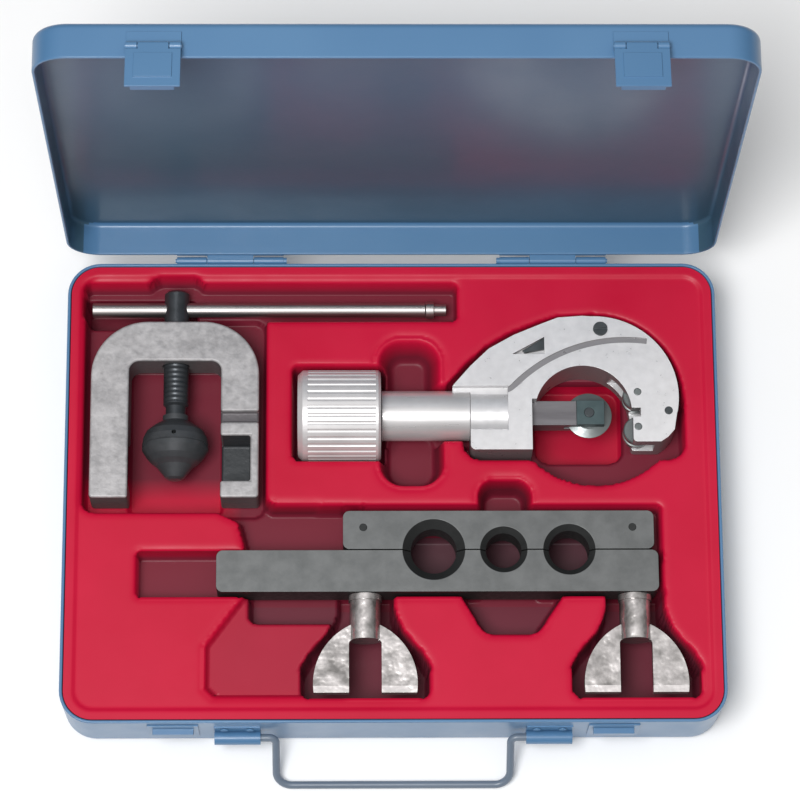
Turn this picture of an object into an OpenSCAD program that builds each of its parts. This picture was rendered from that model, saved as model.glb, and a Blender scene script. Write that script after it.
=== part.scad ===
// Flaring tool kit: a hinged sheet steel case with a formed tray that holds a
// flaring yoke, a tube cutter and a split die bar.
// Row frame: origin at the centre of the case's underside, X to the right,
// Y to the rear, Z up. The lid stands open. All lengths are in millimetres.

/* [Case] */
// outside width of the case, left to right
case_w = 260; // [260:1:300]
// outside depth of the case, front to rear
case_d = 188; // [188:1:215]
// height of the bottom half, up to its rim
base_h = 33; // [33:0.5:45]
// depth of the lid
lid_h = 14.2; // [14.2:0.1:30]
// plan radius of the case corners
corner_r = 13; // [8:0.5:15]
// thickness of the case sheet
steel_t = 1.2; // [0.8:0.1:1.3]
// angle the lid stands open, measured from closed
lid_open = 92.5; // [0:0.5:105]
// distance of each case hinge from the centre line
hinge_x = 65; // [40:1:90]
// length of each case hinge
hinge_l = 43; // [24:1:50]

/* [Latches and handle] */
// distance of each latch from the centre line
latch_x = 86; // [82:0.5:100]
// width of each hasp
hasp_w = 19.5; // [14:0.5:22]
// angle each hasp is swung out from its keeper
hasp_out = 8; // [0:1:60]
// diameter of the handle wire
wire_d = 3; // [2.4:0.1:3.4]
// distance of each handle leg from the centre line
bail_x = 46; // [30:1:48]
// reach of the handle from its pivot
bail_l = 22; // [15:0.5:23]
// angle the handle droops below level
bail_droop = 44; // [0:1:44]

/* [Tray] */
// thickness of the formed plastic sheet
tray_t = 1; // [0.6:0.1:1]
// depth of the tray face below the case rim
tray_drop = 0.4; // [0.2:0.1:0.6]

/* [Flaring yoke] */
// X of the feed screw axis
yoke_x = -86.5; // [-87.5:0.1:-85.5]
// width across the two legs
yoke_w = 67; // [62:0.5:68]
// length from the crown to the leg ends
yoke_l = 73; // [70:0.5:74]
// thickness of the casting
yoke_t = 18; // [14:0.5:18]
// width of the gap between the legs
throat_w = 36.6; // [34:0.2:38]
// diameter of the feed screw
feed_d = 10; // [8:0.2:11]
// largest diameter of the flare cone
cone_d = 26.4; // [22:0.2:28]
// length of the tommy bar
tommy_l = 142.4; // [100:0.2:143]
// diameter of the tommy bar
tommy_d = 5.8; // [4:0.2:6]

/* [Tube cutter] */
// Y of the cutter feed axis
cutter_y = 31.6; // [31:0.1:32]
// diameter of the feed knob
knob_d = 36.6; // [30:0.2:37]
// length of the feed knob
knob_l = 33; // [24:0.5:33]
// number of grip flutes round the knob
knob_flutes = 36; // [12:1:40]
// diameter of the barrel
barrel_d = 20; // [18:0.5:20.5]
// thickness of the frame casting
frame_t = 19; // [19:0.5:20]
// diameter of the cutting wheel
wheel_d = 18.6; // [14:0.2:19]
// diameter of the rollers
roller_d = 11; // [9:0.5:11]

/* [Die bar] */
// length of the long bar
bar_l = 173.6; // [160:0.2:174]
// length of the short bar
jaw_l = 122.4; // [118:0.2:123]
// thickness of both bars
bar_t = 14; // [10:0.5:14]
// bores for tube, from left to right
die_bores = [18, 14, 16];
// mouths of the flare countersinks
die_mouths = [24.7, 18.7, 20.6];
// distance across the two wings of a clamp screw
wing_span = 40.8; // [30:0.2:41]
// thickness of the wings
wing_t = 4.4; // [3:0.2:6]

/* [Hidden] */
$fn = 0;
$fa = 4;
$fs = 0.5;
rim = base_h;
lid_gap = 0.1;
hinge_y = case_d / 2 + 1.7;
hinge_z = rim - 1.7;
knuckle_r = 1.6;
hinge_pin_r = 0.8;
latch_py = -case_d / 2 - 2.4;
latch_pz = rim + 3.5;
bail_py = -case_d / 2 - 2.8;
bail_pz = 17;
wire_r = wire_d / 2;
die_x = [16, 43.5, 69.3];
tray_z = rim - tray_drop;
crown_y = 69;
leg_y = crown_y - yoke_l;
feed_z = rim - 7;
tommy_y = 76.5;
tommy_x = -120.4;
neck_y = 31.8;
cut_z = rim - 6;
knob_x = -37.6;
jaw_x = 55.5;
wheel_x = 78.5;
ring_x = 80.7;
ring_y = 37.1;
ring_r = 33.3;
throat_x = 75.9;
throat_y = 30.4;
throat_r = 19.3;
roller_x = 97.6;
roller_dy = 7.2;
reamer_x = 83.3;
reamer_y = 65;
reamer_z = rim + 0.35;
seam_y = -25.4;
bar_y0 = -42.4;
jaw_y1 = -9.7;
bar_x1 = 104.2;
jaw_x1 = 102.7;
bar_z = rim - 12;
screw_xs = [-11, 95];
screw_z = bar_z + bar_t / 2;
steel_blue = [0.30, 0.50, 0.62];
zinc = [0.72, 0.72, 0.70];
red = [0.78, 0.11, 0.22];
cast = [0.62, 0.62, 0.64];
bright = [0.86, 0.86, 0.86];
phosphate = [0.36, 0.37, 0.37];
black_steel = [0.20, 0.23, 0.25];

// ---- shared shapes ----

// rounded rectangle given by its edges, grown by g all round
module rrect(x0, x1, y0, y1, r, g = 0) {
    w = x1 - x0 + 2 * g;
    d = y1 - y0 + 2 * g;
    q = r + g;
    translate([(x0 + x1) / 2, (y0 + y1) / 2]) {
        square([w - 2 * q, d], center = true);
        square([w, d - 2 * q], center = true);
        for (sx = [-1, 1], sy = [-1, 1])
            translate([sx * (w / 2 - q), sy * (d / 2 - q)])
                circle(q);
    }
}

module case_plan(inset = 0)
    rrect(-case_w / 2, case_w / 2, -case_d / 2, case_d / 2, corner_r, -inset);

// cylinder along X from x0 to x1
module rod_x(x0, x1, r)
    translate([x0, 0, 0])
        rotate([0, 90, 0])
            cylinder(h = x1 - x0, r = r);

// cylinder along Y from y0 to y1
module rod_y(y0, y1, r)
    translate([0, y1, 0])
        rotate([90, 0, 0])
            cylinder(h = y1 - y0, r = r);

// profile in (radius, -Y) turned about the Y axis
module turned_y()
    rotate([90, 0, 0])
        rotate_extrude()
            children();

// block given by its two opposite corners
module block(a, b)
    translate(a)
        cube(b - a);

// moves closed lid geometry to where the lid stands open
module at_lid()
    translate([0, hinge_y, hinge_z])
        rotate([-lid_open, 0, 0])
            translate([0, -hinge_y, -hinge_z])
                children();

module mirrored()
    for (s = [0, 1])
        mirror([s, 0, 0])
            children();

// ---- case ----

module base_pan() color(steel_blue)
    difference() {
        linear_extrude(height = rim) case_plan();
        translate([0, 0, steel_t])
            linear_extrude(height = rim) case_plan(steel_t);
    }

module lid_shell() color(steel_blue)
    at_lid()
        translate([0, 0, rim + lid_gap])
            difference() {
                linear_extrude(height = lid_h) case_plan();
                translate([0, 0, -1])
                    linear_extrude(height = lid_h - steel_t + 1) case_plan(steel_t);
            }

// one leaf with its knuckles: side 1 points up, side -1 points down
module hinge_leaf(side, spans)
    translate([0, hinge_y, hinge_z])
        difference() {
            union() {
                translate([hinge_x - hinge_l / 2, -1.6, side > 0 ? 1.9 : -11])
                    cube([hinge_l, 0.8, 9.1]);
                for (s = spans) {
                    rod_x(hinge_x + s[0], hinge_x + s[1], knuckle_r);
                    translate([hinge_x + s[0], -1.6, side > 0 ? 0 : -2.5])
                        cube([s[1] - s[0], 0.8, 2.5]);
                }
            }
            rod_x(hinge_x - hinge_l, hinge_x + hinge_l, hinge_pin_r + 0.05);
        }

module base_hinge_leaves() color(steel_blue)
    mirrored()
        hinge_leaf(-1, [[-hinge_l / 2, -hinge_l / 2 + 12], [hinge_l / 2 - 12, hinge_l / 2]]);

module lid_hinge_leaves() color(steel_blue)
    at_lid()
        mirrored()
            hinge_leaf(1, [[-hinge_l / 2 + 12.2, hinge_l / 2 - 12.2]]);

module hinge_pins() color(steel_blue)
    mirrored()
        translate([0, hinge_y, hinge_z]) {
            rod_x(hinge_x - hinge_l / 2 - 0.6, hinge_x + hinge_l / 2 + 0.6, hinge_pin_r);
            rod_x(hinge_x - hinge_l / 2 - 1.2, hinge_x - hinge_l / 2, 1.3);
        }

module latch_keepers() color(steel_blue)
    mirrored() {
        block([latch_x - 10, -case_d / 2 - 0.6, 10], [latch_x + 10, -case_d / 2, 29]);
        block([latch_x - 8, -case_d / 2 - 2.8, 20.3], [latch_x + 8, -case_d / 2 - 0.6, 24]);
    }

module handle_brackets() color(steel_blue)
    mirrored()
        difference() {
            union() {
                block([52, -case_d / 2 - 0.6, 8], [70, -case_d / 2, 26]);
                translate([0, bail_py, bail_pz])
                    rod_x(52, 70, 2.7);
                block([52, bail_py, bail_pz - 2.7], [70, -case_d / 2, bail_pz - 1.7]);
            }
            translate([0, bail_py, bail_pz])
                rod_x(51, 71, wire_r + 0.08);
        }

module front_rivets() color(steel_blue)
    mirrored()
        translate([0, -case_d / 2 - 0.6, 0])
            for (p = [[56, 23.2], [66, 23.2], [56, 11], [66, 11],
                      [latch_x - 6, 14], [latch_x + 6, 14]])
                translate([p[0], 0, p[1]])
                    rod_y(-0.7, 0, 1.5);

module hasp_brackets() color(steel_blue)
    at_lid()
        mirrored()
            difference() {
                union() {
                    block([latch_x - hasp_w / 2, -case_d / 2 - 0.6, rim + 0.8],
                          [latch_x + hasp_w / 2, -case_d / 2, rim + 10]);
                    for (s = [-1, 1])
                        translate([latch_x + s * (hasp_w / 2 - 2), 0, 0]) {
                            translate([0, latch_py, latch_pz]) rod_x(-2, 2, knuckle_r);
                            block([-2, latch_py, latch_pz - 1.2],
                                  [2, -case_d / 2 - 0.6, latch_pz + 1.6]);
                        }
                }
                translate([0, latch_py, latch_pz])
                    rod_x(latch_x - 20, latch_x + 20, 0.8);
            }

module hasp_pins() color(steel_blue)
    at_lid()
        mirrored()
            translate([0, latch_py, latch_pz])
                rod_x(latch_x - hasp_w / 2 - 0.3, latch_x + hasp_w / 2 + 0.3, 0.8);

// hasp about its pin, hanging straight down, lip towards +Y
module hasp() color(steel_blue)
    at_lid()
        translate([latch_x, latch_py, latch_pz])
            rotate([-hasp_out, 0, 0])
                difference() {
                    union() {
                        rod_x(-hasp_w / 2 + 4.3, hasp_w / 2 - 4.3, knuckle_r);
                        block([-hasp_w / 2 + 4.3, -1.6, -2.4], [hasp_w / 2 - 4.3, -0.7, 0]);
                        block([-hasp_w / 2, -1.6, -17.6], [hasp_w / 2, -0.7, -2.1]);
                        block([-hasp_w / 2 + 2, -1.6, -17.6], [hasp_w / 2 - 2, 1.2, -16.7]);
                        block([-hasp_w / 2 + 3, -2.1, -14], [hasp_w / 2 - 3, -1.6, -4]);
                    }
                    rod_x(-hasp_w, hasp_w, 0.86);
                }

module right_hasp() hasp();

module left_hasp()
    mirror([1, 0, 0])
        hasp();

// wire handle drawn flat, reach along -Y, then drooped
module bail_handle() color(zinc)
    translate([0, bail_py, bail_pz])
        rotate([bail_droop, 0, 0])
            mirrored() {
                bend = 6;
                hook = 2.5;
                rod_x(bail_x + hook, 69, wire_r);
                translate([bail_x + hook, -hook, 0])
                    rotate([0, 0, 90])
                        rotate_extrude(angle = 90)
                            translate([hook, 0]) circle(wire_r);
                translate([bail_x, 0, 0])
                    rod_y(-bail_l + bend, -hook, wire_r);
                translate([bail_x - bend, -bail_l + bend, 0])
                    rotate([0, 0, -90])
                        rotate_extrude(angle = 90)
                            translate([bend, 0]) circle(wire_r);
                translate([0, -bail_l, 0])
                    rod_x(0, bail_x - bend, wire_r);
            }

// ---- tray ----

// every pocket goes down to a level measured from the rim
module sunk(level, g)
    translate([0, 0, rim - level - g])
        linear_extrude(height = g > 0 ? level + g - tray_drop : level + 2)
            children();

// plan of the pocket round one clamp screw
module bell(x, g) {
    rrect(x - 10.6, x + 10.6, -62, -40, 1, g);
    rrect(x - 24.4, x + 24.4, -83.4, -69, 3, g);
    polygon([[x - 10.6 - g, -49], [x + 10.6 + g, -49], [x + 14.4 + g, -57.8],
             [x + 22 + g, -66.4], [x + 24.4 + g, -72], [x - 24.4 - g, -72],
             [x - 22 - g, -66.4], [x - 14.4 - g, -57.8]]);
}

// g is the wall: zero for the hollow, the sheet thickness for the outside
module pockets(g) {
    sunk(12.8, g) rrect(-123, 26, 70.6, 85.6, 2, g);
    sunk(30.4, g) rrect(-123, -79, 71.6, 81.6, 2, g);
    sunk(12.8, g) rrect(yoke_x - 11, yoke_x + 11, 66, 88.4, 5, g);
    sunk(16.2, g) rrect(-122.8, -50.4, -8.8, 74, 5, g);
    sunk(21.5, g) rrect(-106, -67, -7.6, 56, 4, g);
    sunk(14, g)
        polygon([[-69 - g, -4], [-50.4 + g, -4], [-47, -6.6 + g], [-30, -6.6 + g], [-30, -26],
                 [-57.5 - g, -26], [-61 - g, -13], [-69 - g, -9 - g]]);
    sunk(14, g) rrect(-57.5, -10, -30, -6.6, 4, g);
    sunk(12.2, g) rrect(-100.6, 105.8, -43.4, -25.2, 1.5, g);
    sunk(12.2, g) rrect(-21, 105.8, -30, -6.6, 2, g);
    sunk(26, g) rrect(4, 80, -36, -15, 4, g);
    sunk(17, g) rrect(34.6, 54, -20, 3.2, 6, g);
    sunk(18, g) rrect(33.4, 59.2, -58.4, -30, 6, g);
    sunk(18, g)
        polygon([[27.4 - g, -40], [27.4 - g, -44], [33.4 - g, -54], [59.2 + g, -54],
                 [66 + g, -44], [66 + g, -40]]);
    sunk(18, g) rrect(-57, -12, -53.6, -30, 4, g);
    sunk(5, g)
        polygon([[-58 - g, -42], [-73.5 - g, -63], [-73.5 - g, -80], [-70 - g, -83.4 - g],
                 [-20, -83.4 - g], [-20, -42]]);
    for (x = screw_xs)
        sunk(26.2, g) bell(x, g);
    sunk(24.8, g) rrect(-39.4, -3, 12.4, 50.8, 2, g);
    sunk(16.6, g) rrect(-10, 36, 20.6, 42.6, 1, g);
    sunk(14, g) rrect(-4, 17.6, 30, 60.4, 8, g);
    sunk(18, g) rrect(-4.6, 20, 2, 30, 9, g);
    sunk(15.8, g) {
        translate([ring_x, ring_y]) circle(ring_r + 1.8 + g);
        polygon([[22 - g, 30], [22 - g, 43.2 + g], [30 - g, 52 + g], [37.6 - g, 59 + g],
                 [47.8, 65 + g], [60, 69.8 + g], [66, 71.8 + g], [ring_x, 72 + g],
                 [ring_x, 60], [ring_x, 30]]);
        rrect(28.6, 116, 12.8, 40, 6, g);
    }
    sunk(27, g) rrect(57, 93, 14.4, 48.4, 6, g);
}

module tray_sheet()
    difference() {
        union() {
            translate([0, 0, tray_z - tray_t])
                linear_extrude(height = tray_t) case_plan(steel_t + 0.2);
            pockets(tray_t);
        }
        pockets(0);
    }

// the part of the sheet inside a plan outline; the panels join edge to edge
module tray_panel(outline) color(red)
    intersection() {
        tray_sheet();
        linear_extrude(height = rim) polygon(outline);
    }

module tray_yoke_panel()
    tray_panel([[-140, -12], [-45, -12], [-45, 100], [-140, 100]]);

module tray_cutter_panel()
    tray_panel([[-45, -2], [140, -2], [140, 100], [-45, 100]]);

module tray_bar_panel()
    tray_panel([[-140, -45.5], [140, -45.5], [140, -2], [-45, -2], [-45, -12], [-140, -12]]);

module tray_left_wing_panel()
    tray_panel([[-140, -100], [20, -100], [20, -45.5], [-140, -45.5]]);

module tray_right_wing_panel()
    tray_panel([[20, -100], [140, -100], [140, -45.5], [20, -45.5]]);

// ---- flaring yoke ----

module yoke_plan() {
    hw = yoke_w / 2;
    cr = 22.5;
    difference() {
        union() {
            rrect(-hw, hw, leg_y, leg_y + 20, 1.5);
            translate([-hw, leg_y + 5]) square([yoke_w, yoke_l - cr - 5]);
            translate([-hw + cr, leg_y + 5]) square([yoke_w - 2 * cr, yoke_l - 5]);
            for (s = [-1, 1])
                translate([s * (hw - cr), crown_y - cr]) circle(cr);
        }
        rrect(-throat_w / 2, throat_w / 2, leg_y - 20, 52.4, 4);
    }
}

module yoke_frame() color(cast)
    translate([yoke_x, 0, 0])
        difference() {
            translate([0, 0, rim + 2 - yoke_t])
                linear_extrude(height = yoke_t) yoke_plan();
            translate([0, 0, feed_z])
                rod_y(40, 80, feed_d / 2 + 0.07);
            block([throat_w / 2 - 1, 2.9, rim - 14], [yoke_w / 2 - 3.4, 21.4, rim + 3]);
            block([-yoke_w / 2 + 3.6, 3.2, rim + 1 - yoke_t], [-throat_w / 2 + 1, 21.6, rim - 2]);
            block([throat_w / 2 - 1, 27, rim - 0.2], [yoke_w / 2 + 1, 31.4, rim + 3]);
        }

module feed_screw() color(black_steel)
    translate([yoke_x, 0, feed_z])
        difference() {
            turned_y()
                polygon([[0, -83.8], [feed_d / 2 - 1, -83.8], [feed_d / 2, -82.8],
                         [feed_d / 2, -36.4], [4, -35.6], [4, -neck_y - 0.3],
                         [3.2, -neck_y - 0.3], [3.2, -23.2], [2.4, -23.2], [2.4, -20.4],
                         [3.2, -20.4], [3.2, -15], [2.4, -14.2], [0, -14.2]]);
            translate([0, tommy_y, 0])
                rod_x(-10, 10, tommy_d / 2 + 0.06);
        }

module flare_cone() color(black_steel)
    translate([yoke_x, 0, feed_z])
        difference() {
            r = cone_d / 2;
            turned_y()
                polygon([[0, -neck_y], [5.1, -neck_y], [5.1, -29.6], [7.3, -28.4],
                         [r - 3.6, -26.8], [r - 1.6, -25], [r - 0.4, -22.4], [r, -19.8],
                         [r - 0.3, -19.5], [r, -19.2], [r, -17.6], [r - 1.8, -14.6],
                         [r - 3.6, -12.6], [7.4, -10.9], [5.6, -8.6], [3.8, -6.2],
                         [2.4, -5.5], [0, -5.3]]);
            rod_y(13.6, 40, 3.28);
            translate([0, 21.8, 0]) cylinder(h = 30, r = 0.9);
        }

module cone_pin() color(zinc)
    translate([yoke_x, 21.8, feed_z + 2.65])
        cylinder(h = 5.6, r = 0.9);

module tommy_bar() color(bright)
    translate([tommy_x, tommy_y, feed_z]) {
        rod_x(0, tommy_l - 8.4, tommy_d / 2);
        rod_x(tommy_l - 9, tommy_l, tommy_d / 2 - 0.5);
    }

module tommy_collar() color(bright)
    translate([tommy_x + tommy_l - 8.3, tommy_y, feed_z])
        difference() {
            rod_x(0, 3.4, tommy_d / 2 + 0.5);
            rod_x(-1, 5, tommy_d / 2 - 0.5);
        }

// ---- tube cutter ----

module frame_plan() {
    difference() {
        union() {
            translate([ring_x, ring_y]) circle(ring_r);
            polygon([[24, 33], [24, 41.4], [31.3, 49.8], [38.6, 56.9], [48.6, 62.6], [60, 67.4],
                     [66.4, 69.9], [76, 70.6], [ring_x, 70.3], [ring_x, 40]]);
            rrect(31, 70, 15, 40, 2);
        }
        translate([throat_x, throat_y]) circle(throat_r);
        translate([jaw_x, -10]) square([70, 10 + throat_y]);
        translate([jaw_x, -10]) square([10, 46]);
    }
    polygon([[95.6, 19.4], [96, 18.6], [96.8, 18.2], [106.5, 18.2], [109.4, 20.2],
             [112, 23.2], [113.2, 30.6], [113, 34], [95.6, 34]]);
}

// curved groove from the barrel over the arch to the ring
module groove_plan() {
    intersection() {
        translate([93.2, -1.5])
            difference() {
                circle(63.2);
                circle(60.8);
            }
        polygon([[93.2, -1.5], [105.7, 87.6], [60, 90], [28.5, 61]]);
    }
    intersection() {
        translate([42.85, 47.13])
            difference() {
                circle(9.1);
                circle(6.9);
            }
        polygon([[43.2, 47.5], [42.5, 30], [58, 30], [54.7, 36.4]]);
    }
}

// frame casting before its bores and slots are cut
module frame_blank() {
    difference() {
        translate([0, 0, cut_z - frame_t / 2])
            linear_extrude(height = frame_t) frame_plan();
        block([20, 23, rim], [46, 41.4, rim + 10]);
    }
    translate([0, cutter_y, cut_z])
        rod_x(31, 48, 9.4);
}

module cutter_frame() color(bright)
    difference() {
        frame_blank();
        translate([0, cutter_y, cut_z]) {
            rod_x(20, 37, 8.5);
            block([36, -5.1, -4.1], [jaw_x + 4, 5.1, 4.1]);
            block([84, -16, -4.2], [104.2, 15, 4.2]);
            block([90, -3.1, 0], [98.7, 0.6, 20]);
            for (s = [-1, 1])
                translate([roller_x, s * roller_dy, -20]) cylinder(h = 40, r = 1.54);
        }
        translate([24, cutter_y, cut_z]) rod_x(-5, 7.1, barrel_d / 2 + 0.02);
        translate([109.8, 31, cut_z + 5]) cylinder(h = 10, r = 1.64);
        translate([0, 0, rim + 0.2])
            linear_extrude(height = 2.1)
                polygon([[44, 53.4], [62, 54.4], [reamer_x, 60.2], [reamer_x + 5.2, 62],
                         [reamer_x + 5.2, 80], [44, 80]]);
        translate([0, 0, rim + 0.2])
            linear_extrude(height = 10)
                polygon([[48, 54.6], [60.8, 54.6], [60.8, 61.8]]);
        translate([reamer_x, reamer_y, rim - 6]) cylinder(h = 20, r = 2.04);
        translate([0, 0, cut_z + frame_t / 2 - 0.8])
            linear_extrude(height = 3) groove_plan();
    }

module cutter_barrel() color(bright)
    translate([0, cutter_y, cut_z])
        difference() {
            union() {
                rod_x(knob_x + knob_l + 0.3, 31, barrel_d / 2);
                rod_x(31, 37, 8.5);
            }
            rod_x(0, 40, 6.75);
            rod_x(-10, 5, 2.62);
        }

module feed_knob() color(bright)
    translate([knob_x, cutter_y, cut_z])
        difference() {
            rotate([0, 90, 0])
                rotate_extrude()
                    polygon([[0, 0], [knob_d / 2 - 2, 0], [knob_d / 2, 2],
                             [knob_d / 2, knob_l - 1], [knob_d / 2 - 1, knob_l], [0, knob_l]]);
            for (i = [0 : knob_flutes - 1])
                rotate([(i + 0.5) * 360 / knob_flutes, 0, 0])
                    translate([0, 0, knob_d / 2 + 0.8])
                        rod_x(4, knob_l - 2, 1.2);
            rod_x(14, knob_l + 1, 2.5);
            rod_x(-1, 1, knob_d / 2 - 4);
        }

module knob_spindle() color(black_steel)
    translate([0, cutter_y, cut_z])
        rod_x(knob_x + 14, 40, 2.5);

module wheel_slide() color(cast)
    translate([0, cutter_y, cut_z])
        difference() {
            union() {
                block([22, -5, -4], [74, 5, 4]);
                block([73.5, -5, -5], [wheel_x + 6, 5, 5]);
            }
            rod_x(20, 60, 2.58);
            block([wheel_x - wheel_d / 2 - 0.6, -10, -1.4], [100, 10, 1.4]);
            translate([wheel_x, 0, -10]) cylinder(h = 20, r = 2);
        }

module wheel_axle() color(zinc)
    translate([wheel_x, cutter_y, cut_z - 5])
        cylinder(h = 10.3, r = 2);

module cutting_wheel() color(zinc)
    translate([wheel_x, cutter_y, cut_z])
        rotate_extrude()
            polygon([[2.06, -1.2], [wheel_d / 2 - 3.4, -1.2], [wheel_d / 2 - 0.1, -0.08],
                     [wheel_d / 2, 0], [wheel_d / 2 - 0.1, 0.08], [wheel_d / 2 - 3.4, 1.2],
                     [2.06, 1.2]]);

// roller with a flare groove round its middle
module roller(side) color(zinc)
    translate([roller_x, cutter_y + side * roller_dy, cut_z])
        rotate_extrude()
            polygon([[1.56, -4], [roller_d / 2 - 0.4, -4], [roller_d / 2, -3.6],
                     [roller_d / 2, -1], [roller_d / 2 - 1, -0.5], [roller_d / 2 - 1, 0.5],
                     [roller_d / 2, 1], [roller_d / 2, 3.6], [roller_d / 2 - 0.4, 4],
                     [1.56, 4]]);

module upper_roller() roller(1);

module lower_roller() roller(-1);

module roller_pins() color(zinc)
    for (s = [-1, 1])
        translate([roller_x, cutter_y + s * roller_dy, cut_z - frame_t / 2])
            cylinder(h = frame_t, r = 1.5);

module jaw_rivet() color(zinc)
    translate([109.8, 31, cut_z + 5])
        cylinder(h = frame_t / 2 - 4.6, r = 1.6);

module reamer_blade() color(black_steel)
    translate([0, 0, reamer_z])
        difference() {
            linear_extrude(height = 1.8) {
                translate([reamer_x, reamer_y]) circle(3.8);
                polygon([[reamer_x, reamer_y - 3.8], [reamer_x, reamer_y + 3.8],
                         [reamer_x - 18, 64.6], [52, 56.4], [53, 55.6], [64, 57.6]]);
            }
            translate([reamer_x, reamer_y, -1]) cylinder(h = 4, r = 2.06);
        }

module reamer_screw() color(zinc)
    translate([reamer_x, reamer_y, rim - 6])
        difference() {
            union() {
                cylinder(h = 9.7, r = 2);
                translate([0, 0, 9.5]) cylinder(h = 0.8, r = 2.9);
            }
            block([-4, -0.45, 9.8], [4, 0.45, 11]);
        }

// ---- die bar ----

// the three tube bores with their flare countersinks, cut on the seam
module dies()
    for (i = [0 : 2])
        translate([die_x[i], seam_y, bar_z]) {
            translate([0, 0, -1]) cylinder(h = bar_t + 2, r = die_bores[i] / 2);
            translate([0, 0, bar_t - (die_mouths[i] - die_bores[i]) / 2])
                cylinder(h = (die_mouths[i] - die_bores[i]) / 2 + 0.001,
                         r1 = die_bores[i] / 2, r2 = die_mouths[i] / 2 + 0.001);
        }

module long_bar() color(phosphate)
    difference() {
        translate([0, 0, bar_z])
            linear_extrude(height = bar_t)
                rrect(bar_x1 - bar_l, bar_x1, bar_y0, seam_y - 0.2, 2.6);
        dies();
        for (x = screw_xs)
            translate([x, 0, screw_z]) {
                rod_y(-50, -20, 2.66);
                rod_y(seam_y - 1.7, seam_y, 4.2);
            }
        for (x = [1, 83.6])
            translate([x, 0, screw_z]) rod_y(seam_y - 9, -20, 1.5);
    }

module short_bar() color(phosphate)
    difference() {
        translate([0, 0, bar_z])
            linear_extrude(height = bar_t)
                rrect(jaw_x1 - jaw_l, jaw_x1, seam_y + 0.2, jaw_y1, 2.6);
        dies();
        for (x = screw_xs) {
            translate([x, 0, screw_z]) rod_y(-30, -18.6, 2.56);
            translate([x - 0.7, -16.4, bar_z - 1]) cylinder(h = bar_t + 2, r = 1.5);
        }
        for (x = [1, 83.6])
            translate([x, 0, screw_z]) rod_y(-30, -15, 1.56);
    }

module guide_pins() color(zinc)
    for (x = [1, 83.6])
        translate([x, 0, screw_z]) rod_y(seam_y - 9, seam_y + 8, 1.5);

module jaw_pins() color(zinc)
    for (x = screw_xs)
        translate([x - 0.7, -16.4, bar_z]) cylinder(h = bar_t + 0.2, r = 1.5);

// screw with the flange that keeps it in the long bar
module clamp_screw(x) color(zinc)
    translate([x, 0, screw_z]) {
        rod_y(-56, -19, 2.5);
        rod_y(seam_y - 1.5, seam_y - 0.4, 4);
    }

// stem with two wings in one plane
module wing_head(x) color(bright)
    translate([x, 0, screw_z])
        difference() {
            union() {
                rod_y(-60.6, bar_y0 - 0.2, 6.1);
                rod_y(-45, bar_y0 - 0.2, 6.6);
                translate([0, 0, -wing_t / 2])
                    linear_extrude(height = wing_t)
                        difference() {
                            intersection() {
                                translate([-5.6, -78]) circle(wing_span / 2 + 5.6);
                                translate([5.6, -78]) circle(wing_span / 2 + 5.6);
                                translate([-30, -81.6]) square([60, 31]);
                            }
                            rrect(-6.4, 6.4, -100, -60.6, 1.5);
                        }
            }
            rod_y(-56, -30, 2.5);
        }

module left_clamp_screw() clamp_screw(screw_xs[0]);

module right_clamp_screw() clamp_screw(screw_xs[1]);

module left_wing_head() wing_head(screw_xs[0]);

module right_wing_head() wing_head(screw_xs[1]);

base_pan();
tray_yoke_panel();
tray_cutter_panel();
tray_bar_panel();
tray_left_wing_panel();
tray_right_wing_panel();
base_hinge_leaves();
hinge_pins();
latch_keepers();
handle_brackets();
front_rivets();
lid_shell();
lid_hinge_leaves();
hasp_brackets();
hasp_pins();
left_hasp();
right_hasp();
bail_handle();
yoke_frame();
flare_cone();
cone_pin();
feed_screw();
tommy_bar();
tommy_collar();
cutter_frame();
cutter_barrel();
roller_pins();
reamer_screw();
jaw_rivet();
feed_knob();
knob_spindle();
wheel_slide();
wheel_axle();
cutting_wheel();
upper_roller();
lower_roller();
reamer_blade();
long_bar();
guide_pins();
short_bar();
jaw_pins();
left_clamp_screw();
left_wing_head();
right_clamp_screw();
right_wing_head();
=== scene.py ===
import math

import bpy
import numpy as np
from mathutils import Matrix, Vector


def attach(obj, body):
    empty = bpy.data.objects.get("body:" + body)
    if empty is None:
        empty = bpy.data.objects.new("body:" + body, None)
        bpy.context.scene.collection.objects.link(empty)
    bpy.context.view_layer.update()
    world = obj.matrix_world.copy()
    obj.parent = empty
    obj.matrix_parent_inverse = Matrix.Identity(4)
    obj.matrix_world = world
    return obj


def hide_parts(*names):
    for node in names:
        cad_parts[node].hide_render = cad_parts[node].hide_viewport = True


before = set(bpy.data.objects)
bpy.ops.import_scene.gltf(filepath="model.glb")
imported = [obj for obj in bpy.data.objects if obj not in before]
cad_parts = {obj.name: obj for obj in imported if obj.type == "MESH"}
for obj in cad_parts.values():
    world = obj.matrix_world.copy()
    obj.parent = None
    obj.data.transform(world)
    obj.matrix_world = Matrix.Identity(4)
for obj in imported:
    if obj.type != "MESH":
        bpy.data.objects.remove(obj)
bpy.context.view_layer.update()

MM = 0.001

# case, in millimetres, in the row frame
CASE_W, CASE_D, RIM, LID_H, CORNER, STEEL = 260.0, 188.0, 33.0, 14.2, 13.0, 1.2
BEND_R, BEND_STEPS, LID_GAP, HINGE_WALL = 3.0, 8, 0.1, 3.2
HINGE_Y, HINGE_Z, LID_OPEN = 95.7, 31.3, math.radians(92.5)
TRAY_TOP = RIM - 0.4
YOKE_X = -86.5
SCREW_X = (-11.0, 95.0)
THREAD_PITCH, THREAD_LO, THREAD_HI = 2.0, 37.0, 68.5
BLUED_FROM = 73.4

# rounded edges: steps round each, angle from which an edge is rounded, angle taken as flat
EDGE_STEPS, EDGE_ANGLE, FLAT_ANGLE = 3, 35.0, 0.4

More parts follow.
